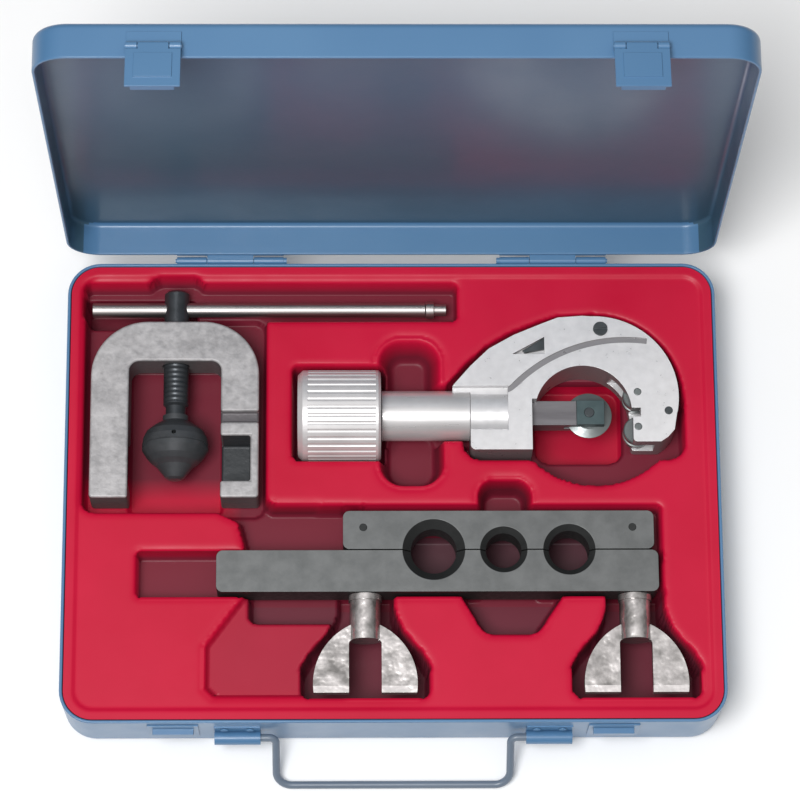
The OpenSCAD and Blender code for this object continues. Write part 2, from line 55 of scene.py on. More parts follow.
# heights on the tray between which its red darkens to a painted shade, deeper in the pockets, and
# lines that bound where that painted shade eases off by the yoke and where a painted shadow covers
# the front pockets
POCKET_SHADE_FROM, POCKET_SHADE_TO = 31.2, 22.2
FRONT_SHADOW_Y = -44.0
YOKE_END_Y, YOKE_FADE_X, YOKE_FADE_Y = -12.5, (-69.0, -60.0), (1.0, 10.0)

# heights on the open lid between which its inside falls to a painted shade, darker towards the
# bottom
LID_SHADE_FROM_Z, LID_SHADE_TO_Z = 215.0, 100.0

# stretches of a surface with painted shade or a painted highlight, or where painted shade is taken
# off: lowest and highest corner, in millimetres
YOKE_SLOT_SHADE = ((-69.5, 2.8, 15.0), (-56.2, 21.5, 34.2))
YOKE_CROSS_SHADE = ((-75.0, 27.0, 31.0), (-50.0, 31.4, 33.6))
CUTTER_GROOVE_SHADE = ((28.0, 38.0, 35.4), (112.0, 64.0, 36.3))
WING_EDGE_HIGHLIGHT = ((-40.0, -81.7, 20.0), (125.0, -78.9, 40.0))
CUTTER_WELL = ((58.0, 13.0, 4.0), (94.0, 50.0, 14.0))
BORE_TROUGH_SHADE = ((4.0, -37.0, 4.0), (80.0, -14.0, 14.0))


# ---------------------------------------------------------------- materials

class Nodes:
    """A material with short calls for the nodes these finishes use."""

    def __init__(self, name, **sockets):
        self.mat = bpy.data.materials.new(name)
        self.mat.use_nodes = True
        self.tree = self.mat.node_tree
        self.tree.nodes.clear()
        self.out = self.add("ShaderNodeOutputMaterial")
        self.bsdf = self.add("ShaderNodeBsdfPrincipled")
        self.link(self.bsdf.outputs[0], self.out.inputs[0])
        for key, value in sockets.items():
            self.bsdf.inputs[key.replace("_", " ")].default_value = value
        self.coord = self.add("ShaderNodeTexCoord").outputs["Object"]
        self.last_bump = None

    def add(self, kind, **props):
        node = self.tree.nodes.new(kind)
        for key, value in props.items():
            setattr(node, key, value)
        return node

    def link(self, a, b):
        self.tree.links.new(a, b)

    def stretch(self, sx, sy, sz):
        m = self.add("ShaderNodeMapping")
        m.inputs["Scale"].default_value = (sx, sy, sz)
        self.link(self.coord, m.inputs["Vector"])
        return m.outputs[0]

    def noise(self, scale, detail=4.0, rough=0.55, vector=None, distort=0.0):
        n = self.add("ShaderNodeTexNoise")
        n.inputs["Scale"].default_value = scale
        n.inputs["Detail"].default_value = detail
        n.inputs["Roughness"].default_value = rough
        n.inputs["Distortion"].default_value = distort
        self.link(vector or self.coord, n.inputs["Vector"])
        return n.outputs["Fac"]

    def axis(self, index):
        """One Object coordinate, in metres."""
        xyz = self.add("ShaderNodeSeparateXYZ")
        self.link(self.coord, xyz.inputs[0])
        return xyz.outputs[index]

    def facing_up(self):
        """Upward share of the surface normal in the object's own frame."""
        coord, xyz = self.add("ShaderNodeTexCoord"), self.add("ShaderNodeSeparateXYZ")
        self.link(coord.outputs["Normal"], xyz.inputs[0])
        return xyz.outputs[2]

    def inside(self, lo, hi):
        """One within a box of Object coordinates given in millimetres, nought outside."""
        share = None
        for i in range(3):
            for op, edge in (("GREATER_THAN", lo[i]), ("LESS_THAN", hi[i])):
                test = self.math(op, self.axis(i), edge * MM)
                share = test if share is None else self.math("MULTIPLY", share, test)
        return share

    def remap(self, value, a, b, lo, hi):
        r = self.add("ShaderNodeMapRange")
        for i, v in zip((1, 2, 3, 4), (a, b, lo, hi)):
            r.inputs[i].default_value = v
        self.link(value, r.inputs[0])
        return r.outputs[0]

    def mix(self, fac, a, b):
        m = self.add("ShaderNodeMix", data_type="RGBA")
        for socket, v in ((m.inputs[6], a), (m.inputs[7], b)):
            if isinstance(v, tuple):
                socket.default_value = (*v, 1.0)
            else:
                self.link(v, socket)
        self.link(fac, m.inputs[0])
        return m.outputs[2]

    def math(self, op, a, b):
        m = self.add("ShaderNodeMath", operation=op)
        for i, v in enumerate((a, b)):
            if isinstance(v, (int, float)):
                m.inputs[i].default_value = v
            else:
                self.link(v, m.inputs[i])
        return m.outputs[0]

    def color(self, value):
        self.link(value, self.bsdf.inputs["Base Color"])

    def rough(self, value):
        self.link(value, self.bsdf.inputs["Roughness"])

    def bump(self, height, strength, distance):
        """Relief, laid over any that the material has already."""
        b = self.add("ShaderNodeBump")
        b.inputs["Strength"].default_value = strength
        b.inputs["Distance"].default_value = distance
        if self.last_bump:
            self.link(self.last_bump, b.inputs["Normal"])
        self.link(height, b.inputs["Height"])
        self.last_bump = b.outputs[0]
        self.link(b.outputs[0], self.bsdf.inputs["Normal"])


def paint(name, dark, light, shaded_tone=None):
    """Stoved enamel; the last argument, if given, is a painted shade that the tone falls to
    towards the bottom of a standing panel.
    """
    n = Nodes(name, Coat_Weight=0.25, Coat_Roughness=0.18, Specular_IOR_Level=0.4)
    tone = n.mix(n.remap(n.noise(9.0, 3.0), 0.35, 0.65, 0.0, 1.0), dark, light)
    # painted shade: the tone falls to the darker one between the two heights
    if shaded_tone:
        tone = n.mix(n.remap(n.axis(2), LID_SHADE_FROM_Z * MM, LID_SHADE_TO_Z * MM, 0.0, 1.0), tone, shaded_tone)
    n.color(tone)
    n.rough(n.remap(n.noise(40.0, 5.0), 0.3, 0.7, 0.30, 0.42))
    n.bump(n.noise(700.0, 2.0), 0.10, 0.0002)
    n.bump(n.noise(14.0, 1.0), 0.25, 0.0006)
    return n.mat


def formed_plastic(name, dark, light, deep_shade_tone):
    """Formed sheet with a painted shade that makes its red duller and browner deeper in the
    pockets. The painted shade eases off towards the front end of the yoke's pocket and is mostly
    taken off in the well under the cutter, the pockets at the front get a darker painted shadow
    and the trough under the die bores a darker painted shade still."""
    # painted shadow for the front pockets, before the die bar, and painted shade for the trough
    # under the die bores
    front_shadow_tone, trough_shade_tone = (0.060, 0.034, 0.050), (0.045, 0.034, 0.042)
    n = Nodes(name, Specular_IOR_Level=0.22, Coat_Weight=0.04, Coat_Roughness=0.2)
    face = n.mix(n.remap(n.noise(16.0, 4.0), 0.35, 0.65, 0.0, 1.0), dark, light)
    # painted shade: the red darkens between the two heights, deeper in the pockets
    drawn = n.remap(n.axis(2), POCKET_SHADE_FROM * MM, POCKET_SHADE_TO * MM, 0.0, 1.0)

    # the painted shade eases off towards the front end of the yoke's pocket
    x0, x1 = (x * MM for x in YOKE_FADE_X)
    y0, y1 = (y * MM for y in YOKE_FADE_Y)
    yoke_end = n.math("MULTIPLY", n.math("GREATER_THAN", n.axis(1), YOKE_END_Y * MM),
                      n.remap(n.axis(0), x0, x1, 1.0, 0.0))
    shade_eased = n.math("MULTIPLY", yoke_end, n.remap(n.axis(1), y0, y1, 0.9, 0.0))
    tone = n.mix(n.math("MULTIPLY", drawn, n.math("SUBTRACT", 1.0, shade_eased)), face, deep_shade_tone)

    # painted shadow: the deep parts in front of the die bar darken further
    front = n.math("MULTIPLY", n.math("LESS_THAN", n.axis(1), FRONT_SHADOW_Y * MM), drawn)
    tone = n.mix(n.math("MULTIPLY", front, 0.25), tone, front_shadow_tone)
    # the painted shade is mostly taken off in the well under the cutter
    tone = n.mix(n.math("MULTIPLY", n.inside(*CUTTER_WELL), 0.75), tone, face)
    # painted shade in the trough seen through the die bores
    tone = n.mix(n.math("MULTIPLY", n.inside(*BORE_TROUGH_SHADE), 0.7), tone, trough_shade_tone)
    n.color(tone)
    n.rough(n.remap(n.noise(60.0, 4.0), 0.3, 0.7, 0.38, 0.52))
    n.bump(n.noise(1400.0, 2.0), 0.08, 0.0001)
    n.bump(n.noise(35.0, 2.0), 0.35, 0.0004)
    return n.mat


def plated(name, tone, rough, streak=(1.0, 1.0, 1.0), relief=0.05, metallic=1.0):
    """Polished or plated metal; streak stretches its fine grain along an axis."""
    n = Nodes(name, Metallic=metallic)
    fine = n.noise(500.0, 3.0, vector=n.stretch(*streak))
    patch = n.noise(60.0, 4.0)
    shade = tuple(c * 0.88 for c in tone)
    n.color(n.mix(n.remap(patch, 0.35, 0.65, 0.0, 1.0), shade, tone))
    n.rough(n.remap(fine, 0.3, 0.7, rough * 0.85, rough * 1.2))
    n.bump(fine, relief, 0.0002)
    return n.mat


def casting(name, dark, light, rough, coarse, fine, metallic=0.85, sizes=(420.0, 110.0),
            wall=1.0, painted_light_boxes=()):
    """Cast metal; wall darkens its standing faces as painted shade, and the last argument lists
    boxes of painted shade or painted highlight, each with its tone.
    """
    n = Nodes(name, Metallic=metallic)
    grain = n.noise(sizes[0], 4.0, 0.55)
    lump = n.noise(sizes[1], 3.0)
    both = n.math("ADD", n.math("MULTIPLY", grain, 0.5), n.math("MULTIPLY", lump, 0.5))
    tone = n.mix(n.remap(both, 0.38, 0.62, 0.0, 1.0), dark, light)
    if wall < 1.0:
        # painted shade: standing faces fall towards wall times the dark tone
        standing_shade = n.remap(n.facing_up(), 0.10, 0.60, 1.0, 0.0)
        tone = n.mix(standing_shade, tone, tuple(c * wall for c in dark))
    # boxes of painted shade, or of painted highlight, each laid over in its own tone
    for lo, hi, shade in painted_light_boxes:
        tone = n.mix(n.inside(lo, hi), tone, shade)
    n.color(tone)
    n.rough(n.remap(grain, 0.3, 0.7, rough * 0.9, rough * 1.15))
    n.bump(lump, coarse, 0.0010)
    n.bump(grain, fine, 0.0004)
    return n.mat


def dark_steel(name, dark, light, rough, metallic=0.7, wall=1.0):
    """Blackened steel; wall darkens its standing faces and its countersinks as painted shade."""
    n = Nodes(name, Metallic=metallic)
    tone = n.mix(n.remap(n.noise(150.0, 5.0), 0.35, 0.65, 0.0, 1.0), dark, light)
    if wall < 1.0:
        # painted shade: standing faces and countersinks fall towards wall times the dark tone
        standing_shade = n.remap(n.facing_up(), 0.72, 0.92, 1.0, 0.0)
        tone = n.mix(standing_shade, tone, tuple(c * wall for c in dark))
    n.color(tone)
    n.rough(n.remap(n.noise(500.0, 4.0), 0.3, 0.7, rough * 0.85, rough * 1.2))
    n.bump(n.noise(1100.0, 3.0), 0.06, 0.0002)
    return n.mat


def threaded(name, dark, light, rough):
    """Dark steel with thread ridges along Y over the threaded length."""
    n = Nodes(name, Metallic=0.6)
    n.color(n.mix(n.remap(n.noise(150.0, 5.0), 0.35, 0.65, 0.0, 1.0), dark, light))
    n.rough(n.remap(n.noise(500.0, 4.0), 0.3, 0.7, rough * 0.85, rough * 1.2))
    y = n.axis(1)
    wave = n.math("SINE", n.math("MULTIPLY", y, 2 * math.pi / (THREAD_PITCH * MM)), 0.0)
    length = n.math("MULTIPLY", n.math("GREATER_THAN", y, THREAD_LO * MM),
                    n.math("LESS_THAN", y, THREAD_HI * MM))
    n.bump(n.math("MULTIPLY", wave, length), 0.28, 0.0004)
    return n.mat


def slide_steel(name):
    """Ground steel whose grey is kept dark as painted shade for where it lies under the cutter's
    frame, with a darker blued end towards +X.
    """
    n = Nodes(name, Metallic=0.7)
    ground = n.noise(300.0, 4.0, vector=n.stretch(0.1, 1.0, 1.0))
    # the body's grey is kept dark as painted shade
    body = n.mix(n.remap(ground, 0.35, 0.65, 0.0, 1.0), (0.18, 0.17, 0.18), (0.23, 0.22, 0.23))
    blued = n.mix(n.remap(n.noise(200.0, 3.0), 0.35, 0.65, 0.0, 1.0),
                  (0.075, 0.110, 0.115), (0.095, 0.135, 0.140))
    n.color(n.mix(n.math("GREATER_THAN", n.axis(0), BLUED_FROM * MM), body, blued))
    n.rough(n.remap(ground, 0.3, 0.7, 0.34, 0.46))
    n.bump(ground, 0.05, 0.0002)
    return n.mat


BLUE_DARK, BLUE_LIGHT = (0.070, 0.175, 0.330), (0.090, 0.205, 0.365)
M_PAINT = paint("case_paint", BLUE_DARK, BLUE_LIGHT)
# inside of the lid: a darker, greyer copy of the case paint standing in for shade, with a painted
# shade towards its bottom
M_INSIDE_SHADED = paint("inside_paint", (0.078, 0.138, 0.225), (0.094, 0.158, 0.250),
                 (0.046, 0.100, 0.150))
M_WIRE = paint("handle_paint", (0.130, 0.165, 0.215), (0.160, 0.200, 0.255))
# the third tone is the painted shade of the tray's pockets
M_TRAY = formed_plastic("tray_red", (0.500, 0.002, 0.030), (0.550, 0.004, 0.038),
                        (0.165, 0.012, 0.028))
M_ZINC = plated("bright_plate", (0.50, 0.48, 0.46), 0.26)
M_STEEL = plated("hardened_steel", (0.20, 0.22, 0.22), 0.34, metallic=0.6)
M_TOMMY = plated("tommy_plate", (0.42, 0.395, 0.385), 0.42, (0.05, 1.0, 1.0))
# painted shade on the wing heads' standing faces and a painted highlight along their front edges
M_WING = casting("wing_nickel", (0.30, 0.285, 0.275), (0.86, 0.81, 0.80), 0.24, 0.9, 0.06,
                 0.8, (160.0, 90.0), wall=0.5, painted_light_boxes=((*WING_EDGE_HIGHLIGHT, (0.86, 0.81, 0.80)),))
# painted shade on the yoke's standing faces, in its deep slot and along its cross slot
M_YOKE = casting("yoke_cast", (0.31, 0.30, 0.305), (0.47, 0.455, 0.46), 0.50, 0.45, 0.35, 0.2,
                 wall=0.45, painted_light_boxes=((*YOKE_SLOT_SHADE, (0.036, 0.040, 0.044)),
                                    (*YOKE_CROSS_SHADE, (0.115, 0.105, 0.112))))
# painted shade on the cutter frame's standing faces and in the groove round its ring
M_CUTTER = casting("cutter_cast", (0.74, 0.73, 0.74), (0.82, 0.81, 0.82), 0.30, 0.06, 0.02,
                   0.4, (300.0, 60.0), wall=0.40, painted_light_boxes=((*CUTTER_GROOVE_SHADE, (0.30, 0.29, 0.30)),))
M_BARREL = plated("barrel_polish", (0.80, 0.78, 0.78), 0.30, (0.04, 1.0, 1.0), 0.04, 0.5)
M_KNOB = plated("knob_polish", (0.72, 0.70, 0.70), 0.42, (0.04, 1.0, 1.0), 0.04, 0.35)
M_SLIDE = slide_steel("slide_steel")
# wall darkens the die bars' sides, bores and countersinks as painted shade
M_DIE = dark_steel("dark_phosphate", (0.125, 0.130, 0.130), (0.160, 0.165, 0.165), 0.48, 0.5,
                   wall=0.30)
M_BLACK = dark_steel("black_oxide", (0.050, 0.058, 0.062), (0.070, 0.080, 0.086), 0.38, 0.4)
# near black, standing in for the shade of the holes the jaw pins sit in
M_HOLE_SHADE = dark_steel("pin_black", (0.010, 0.012, 0.012), (0.016, 0.018, 0.018), 0.5, 0.2)
M_CONE = dark_steel("cone_steel", (0.052, 0.056, 0.061), (0.072, 0.076, 0.082), 0.40, 0.3)
M_THREAD = threaded("feed_thread", (0.048, 0.054, 0.060), (0.070, 0.076, 0.084), 0.36)

FINISH = {
    "base_hinge_leaves": M_PAINT, "lid_hinge_leaves": M_PAINT, "hinge_pins": M_PAINT,
    "latch_keepers": M_PAINT, "handle_brackets": M_PAINT, "front_rivets": M_PAINT,
    "hasp_brackets": M_PAINT, "hasp_pins": M_PAINT, "left_hasp": M_PAINT,
    "right_hasp": M_PAINT, "bail_handle": M_WIRE, "yoke_frame": M_YOKE,
    "flare_cone": M_CONE, "cone_pin": M_BLACK, "feed_screw": M_THREAD,
    "tommy_bar": M_TOMMY, "tommy_collar": M_TOMMY, "cutter_frame": M_CUTTER,
    "cutter_barrel": M_BARREL, "roller_pins": M_STEEL, "reamer_screw": M_BLACK,
    "jaw_rivet": M_BLACK, "feed_knob": M_KNOB, "knob_spindle": M_BLACK,
    "wheel_slide": M_SLIDE, "wheel_axle": M_BLACK, "cutting_wheel": M_STEEL,
    "upper_roller": M_STEEL, "lower_roller": M_STEEL, "reamer_blade": M_BLACK,
    "long_bar": M_DIE, "guide_pins": M_ZINC, "short_bar": M_DIE, "jaw_pins": M_HOLE_SHADE,
    "left_clamp_screw": M_ZINC, "left_wing_head": M_WING,
    "right_clamp_screw": M_ZINC, "right_wing_head": M_WING,
}
for name, mat in FINISH.items():
    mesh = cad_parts[name].data
    mesh.materials.clear()
    mesh.materials.append(mat)


# ---------------------------------------------------------------- rounded edges

def soften(name, width, clamp):
    """Rounds the hard edges of a CAD node with modifiers, leaving its mesh as it is."""
    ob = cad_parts[name]
    weld = ob.modifiers.new("weld", "WELD")
    weld.merge_threshold = 1e-6
    flat = ob.modifiers.new("flat", "DECIMATE")
    flat.decimate_type = "DISSOLVE"
    flat.angle_limit = math.radians(FLAT_ANGLE)
    bevel = ob.modifiers.new("round", "BEVEL")
    bevel.width = width * MM
    bevel.segments = EDGE_STEPS
    bevel.limit_method = "ANGLE"
    bevel.angle_limit = math.radians(EDGE_ANGLE)
    bevel.use_clamp_overlap = clamp
    normal = ob.modifiers.new("normal", "WEIGHTED_NORMAL")
    normal.keep_sharp = True
    for p in ob.data.polygons:
        p.use_smooth = True


SOFT = {
    "yoke_frame": 1.0, "cutter_frame": 1.2, "cutter_barrel": 0.4, "feed_knob": 0.25,
    "long_bar": 0.7, "short_bar": 0.7, "left_wing_head": 1.2, "right_wing_head": 1.2,
    "wheel_slide": 0.4, "latch_keepers": 0.25, "handle_brackets": 0.2,
    "left_hasp": 0.25, "right_hasp": 0.25, "hasp_brackets": 0.2,
    "base_hinge_leaves": 0.2, "lid_hinge_leaves": 0.2, "front_rivets": 0.3,
    "tommy_bar": 0.5, "tommy_collar": 0.3, "reamer_screw": 0.25, "jaw_rivet": 0.2,
    "jaw_pins": 0.2, "roller_pins": 0.3, "wheel_axle": 0.3, "reamer_blade": 0.2,
    "cone_pin": 0.2,
}
for name, width in SOFT.items():
    soften(name, width, clamp=name != "yoke_frame")


# ---------------------------------------------------------------- meshes

def build(name, verts, faces, mat, smooth=True):
    """A new object from points in metres."""
    mesh = bpy.data.meshes.new(name)
    mesh.from_pydata([tuple(v) for v in verts], [], [tuple(f) for f in faces])
    mesh.validate()
    mesh.update()
    ob = bpy.data.objects.new(name, mesh)
    bpy.context.scene.collection.objects.link(ob)
    mesh.materials.append(mat)
    if smooth:
        mesh.shade_smooth()
    return ob


def outline(inset, steps=10):
    """Rounded rectangle of the case, drawn in by inset, as points in millimetres."""
    r = max(CORNER - inset, 0.6)
    hx, hy = CASE_W / 2 - inset - r, CASE_D / 2 - inset - r
    pts = []
    for cx, cy, a0 in ((hx, hy, 0), (-hx, hy, 90), (-hx, -hy, 180), (hx, -hy, 270)):
        for i in range(steps + 1):
            a = math.radians(a0 + 90 * i / steps)
            pts.append((cx + r * math.cos(a), cy + r * math.sin(a)))
    return pts


def pan(name, profile, place):
    """Drawn steel pan: profile is (inset, height) from the middle of the outside to the
    middle of the inside, place turns a point into the row frame."""
    verts, faces = [], []
    n = len(outline(0.0))
    for inset, z in profile:
        verts += [place(x, y, z) for x, y in outline(inset)]
    for k in range(len(profile) - 1):
        for i in range(n):
            j = (i + 1) % n
            faces.append((k * n + i, k * n + j, (k + 1) * n + j, (k + 1) * n + i))
    faces.append(tuple(reversed(range(n))))
    last = (len(profile) - 1) * n
    faces.append(tuple(last + i for i in range(n)))
    return build(name, verts, faces, M_PAINT)


def drawn_profile(height, corner, wall):
    """Profile of a pan whose floor is at 0 and rim at height, walked from outside to in."""
    turn = [math.radians(90 * i / BEND_STEPS) for i in range(BEND_STEPS + 1)]
    pts = [(corner * 3.2, 0.0), (corner * 1.2, 0.0)]
    pts += [(corner - corner * math.sin(a), corner - corner * math.cos(a)) for a in turn]
    pts += [(0.0, corner + 0.8), (0.0, height * 0.5), (0.0, height - 1.2),
            (0.0, height - 0.35), (0.12, height - 0.1), (0.35, height)]
    pts += [(wall - 0.35, height), (wall - 0.12, height - 0.1), (wall, height - 0.35),
            (wall, height - 1.2), (wall, height * 0.5), (wall, corner + 0.8)]
    inner = corner - wall
    pts += [(corner - inner * math.sin(a), corner - inner * math.cos(a)) for a in reversed(turn)]
    pts += [(corner * 1.2, wall), (corner * 3.2, wall)]
    return pts


def at_rest(x, y, z):
    """A point of the base, from millimetres to metres."""
    return (x * MM, y * MM, z * MM)


def at_lid(x, y, z):
    """Closed lid coordinates turned to where the lid stands open."""
    c, s = math.cos(-LID_OPEN), math.sin(-LID_OPEN)
    dy, dz = y - HINGE_Y, z - HINGE_Z
    return (x * MM, (HINGE_Y + dy * c - dz * s) * MM, (HINGE_Z + dy * s + dz * c) * MM)


def finish_shell(ob):
    """Keeps the flats of a pan flat in its shading."""
    n = ob.modifiers.new("normal", "WEIGHTED_NORMAL")
    n.keep_sharp = True
    n.weight = 60


base = pan("base_pan_skin", drawn_profile(RIM, BEND_R, STEEL), at_rest)
finish_shell(base)
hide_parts("base_pan")
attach(base, "case")

lid_top = RIM + LID_GAP + LID_H
lid_shape = [(i, lid_top - z) for i, z in drawn_profile(LID_H, BEND_R, STEEL)]
lid = pan("lid_skin", lid_shape, at_lid)
lid.data.materials.append(M_INSIDE_SHADED)
ring = len(outline(0.0))
flat_y = [y for inset, z in lid_shape for x, y in outline(inset)]
# mirroring the profile leaves the faces inside out, so each is flipped; the inside, apart from the
# hinge wall, has a darker copy of the paint that stands in for shade
for p in lid.data.polygons:
    p.flip()
    inner = min(p.vertices) // ring >= len(lid_shape) // 2
    hinge_side = sum(flat_y[v] for v in p.vertices) / len(p.vertices) > CASE_D / 2 - HINGE_WALL
    if inner and not hinge_side:
        p.material_index = 1
finish_shell(lid)
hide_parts("lid_shell")
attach(lid, "lid")


# ---------------------------------------------------------------- formed tray

# in millimetres: grid pitch, run from which a wall counts as sloping, fillet between joined
# outlines, rolled shoulder of each pocket, lip round the sheet
GRID, STEEP_RUN, FILLET = 0.72, 2.4, 1.6
ROLL_RUN, ROLL_DROP = 3.0, 0.55
LIP_FROM, LIP_RUN, LIP_DROP = 3.4, 1.2, 0.8

# how far a point may be drawn to a pocket's edge, in grid pitches, and how much deeper than
# the other pockets there that pocket has to be
REACH, LEAST_STEP = 0.55, 0.8

# share of a point's rise above its neighbours that is taken off
TAKEN_OFF = 0.38

# band along the sheet's edge whose points stay on it, in grid pitches, and how far past the
# rounded corners a point may start
EDGE_BAND, CORNER_REACH = 0.6, 0.9


def box(X, Y, x0, x1, y0, y1, r):
    """Signed distance to a box with corner radius r, negative inside."""
    qx = np.abs(X - (x0 + x1) / 2) - (x1 - x0) / 2 + r
    qy = np.abs(Y - (y0 + y1) / 2) - (y1 - y0) / 2 + r
    return np.hypot(np.maximum(qx, 0), np.maximum(qy, 0)) + np.minimum(np.maximum(qx, qy), 0) - r


def disc(X, Y, cx, cy, r):
    """Signed distance to a disc, negative inside."""
    return np.hypot(X - cx, Y - cy) - r


def poly(X, Y, pts):
    """Signed distance to a polygon, negative inside."""
    d = np.full(X.shape, 1e9)
    inside = np.zeros(X.shape, bool)
    for (ax, ay), (bx, by) in zip(pts, pts[1:] + pts[:1]):
        ex, ey = bx - ax, by - ay
        wx, wy = X - ax, Y - ay
        t = np.clip((wx * ex + wy * ey) / (ex * ex + ey * ey), 0, 1)
        d = np.minimum(d, np.hypot(wx - t * ex, wy - t * ey))
        cross = (ay > Y) != (by > Y)
        with np.errstate(divide="ignore", invalid="ignore"):
            cut = ax + (Y - ay) * ex / (ey if ey else 1e-12)
        inside ^= cross & (X < cut)
    return np.where(inside, -d, d)


def join(*fields):
    """Union of shapes with small fillets where they meet."""
    out = fields[0]
    for f in fields[1:]:
        h = np.maximum(FILLET - np.abs(out - f), 0) / FILLET
        out = np.minimum(out, f) - h * h * FILLET / 4
    return out


def yoke_pockets(X, Y):
    """Pockets of the tommy bar and the yoke."""
    slot = join(box(X, Y, -123, 26, 70.6, 85.6, 2),
                box(X, Y, YOKE_X - 11, YOKE_X + 11, 66, 88.4, 5))
    under_slot = box(X, Y, -123, -79, 71.6, 81.6, 2)
    yoke = box(X, Y, -122.8, -50.4, -8.8, 74, 5)
    under_yoke = box(X, Y, -106, -67, -7.6, 56, 4)
    return [(12.8, slot, 0.5, 0.5), (30.4, under_slot, 0.3, 0.3),
            (16.2, yoke, 0.5, 1.0), (21.5, under_yoke, 0.4, 1.6)]


def bar_pockets(X, Y):
    """Pockets of the die bar, and the finger recesses round it."""
    link = [(-69, -4), (-50.4, -4), (-47, -6.6), (-30, -6.6), (-30, -26), (-57.5, -26),
            (-61, -13), (-69, -9)]
    upper = join(poly(X, Y, link), box(X, Y, -57.5, -10, -30, -6.6, 4))
    bars = join(box(X, Y, -100.6, 105.8, -43.4, -25.2, 1.5),
                box(X, Y, -21, 105.8, -30, -6.6, 2))
    bore_trough = box(X, Y, 4, 80, -36, -15, 4)
    behind = box(X, Y, 34.6, 54, -20, 3.2, 6)
    thumb = [(27.4, -40), (27.4, -44), (33.4, -54), (59.2, -54), (66, -44), (66, -40)]
    front = join(box(X, Y, 33.4, 59.2, -58.4, -30, 6), poly(X, Y, thumb))
    front_left = box(X, Y, -57, -12, -53.6, -30, 4)
    return [(14.0, upper, 0.6, 1.6), (12.2, bars, 0.3, 0.5), (26.0, bore_trough, 0.4, 0.6),
            (17.0, behind, 1.8, 2.6), (18.0, front, 0.8, 2.0), (18.0, front_left, 0.6, 1.6)]


def spare_pocket(X, Y):
    """Shallow pocket for small parts."""
    spare = [(-58, -42), (-73.5, -63), (-73.5, -80), (-70, -83.4), (-20, -83.4), (-20, -42)]
    return [(5.0, poly(X, Y, spare), 0.6, 1.4)]


def bell(X, Y, x):
    """Outline of the pocket of a wing screw that stands at x."""
    neck = box(X, Y, x - 10.6, x + 10.6, -62, -40, 1)
    cup = box(X, Y, x - 24.4, x + 24.4, -83.4, -69, 3)
    flare = poly(X, Y, [(x - 10.6, -49), (x + 10.6, -49), (x + 14.4, -57.8), (x + 22, -66.4),
                        (x + 24.4, -72), (x - 24.4, -72), (x - 22, -66.4), (x - 14.4, -57.8)])
    return join(neck, join(cup, flare))


def wing_pockets(X, Y):
    """Pockets of the two wing screws."""
    return [(26.2, bell(X, Y, x), 0.8, 0.4) for x in SCREW_X]


def cutter_pockets(X, Y):
    """Pockets of the cutter's knob, barrel and frame, with the recesses and the well."""
    knob = box(X, Y, -39.4, -3, 12.4, 50.8, 2)
    barrel = box(X, Y, -10, 36, 20.6, 42.6, 1)
    behind = box(X, Y, -4, 17.6, 30, 60.4, 8)
    front = box(X, Y, -4.6, 20, 2, 30, 9)
    tail = [(22, 30), (22, 43.2), (30, 52), (37.6, 59), (47.8, 65), (60, 69.8), (66, 71.8),
            (80.7, 72), (80.7, 30)]
    body = join(disc(X, Y, 80.7, 37.1, 35.1), poly(X, Y, tail))
    body = join(body, box(X, Y, 28.6, 116, 12.8, 40, 6))
    throat_well = box(X, Y, 57, 93, 14.4, 48.4, 6)
    return [(24.8, knob, 0.4, 0.3), (16.6, barrel, 0.4, 0.2), (14.0, behind, 3.0, 5.0),
            (18.0, front, 1.6, 4.0), (15.8, body, 0.4, 0.6), (27.0, throat_well, 0.3, 1.2)]


def pockets(X, Y):
    """Each pocket of the tray: depth below the rim, outline, wall run outwards and inwards."""
    return [*yoke_pockets(X, Y), *bar_pockets(X, Y), *spare_pocket(X, Y),
            *wing_pockets(X, Y), *cutter_pockets(X, Y)]


def wall_share(away, outwards, inwards):
    """How far down its wall a point is: 0 on the face, 1 on the pocket's floor."""
    return np.clip((outwards - away) / (outwards + inwards), 0, 1)


def drawn_to_edges(X, Y):
    """How far each grid point moves to lie on the nearest edge of a steep wall."""
    tiny = 0.05
    here, right, up = pockets(X, Y), pockets(X + tiny, Y), pockets(X, Y + tiny)
    fall = [wall_share(away, outwards, inwards) * level for level, away, outwards, inwards in here]
    best = np.full(X.shape, 1e9)
    move_x, move_y = np.zeros(X.shape), np.zeros(X.shape)
    for i, (level, away, outwards, inwards) in enumerate(here):
        if outwards + inwards >= STEEP_RUN:
            continue
        other = np.max([f for j, f in enumerate(fall) if j != i], axis=0)
        slope_x, slope_y = (right[i][1] - away) / tiny, (up[i][1] - away) / tiny
        slope = np.maximum(np.hypot(slope_x, slope_y), 0.5)
        for edge in (outwards, -inwards):
            gap = edge - away
            near = (np.abs(gap) < np.abs(best)) & (np.abs(gap) < GRID * REACH)
            hit = near & (other < level - LEAST_STEP)
            best = np.where(hit, gap, best)
            move_x = np.where(hit, gap * slope_x / slope**2, move_x)
            move_y = np.where(hit, gap * slope_y / slope**2, move_y)
    return move_x, move_y


def eased(share):
    """Rounds both ends of a slope that goes from 0 to 1."""
    return share * share * (3 - 2 * share)


def sheet_height(X, Y, outer):
    """Height of the sheet: the face with its rolled shoulders and lip, down to each pocket."""
    falls, rolls = [], []
    for level, away, outwards, inwards in pockets(X, Y):
        share = wall_share(away, outwards, inwards)
        if outwards + inwards >= STEEP_RUN:
            share = eased(share)
        falls.append(share * level)
        rolls.append(np.clip(1 - (away - outwards) / ROLL_RUN, 0, 1) * (away > outwards))
    depth, roll = np.max(falls, axis=0), np.max(rolls, axis=0)
    lip = eased(np.clip((-outer - LIP_FROM) / LIP_RUN, 0, 1)) * LIP_DROP
    return np.minimum(TRAY_TOP - lip - ROLL_DROP * roll**2, RIM - depth)


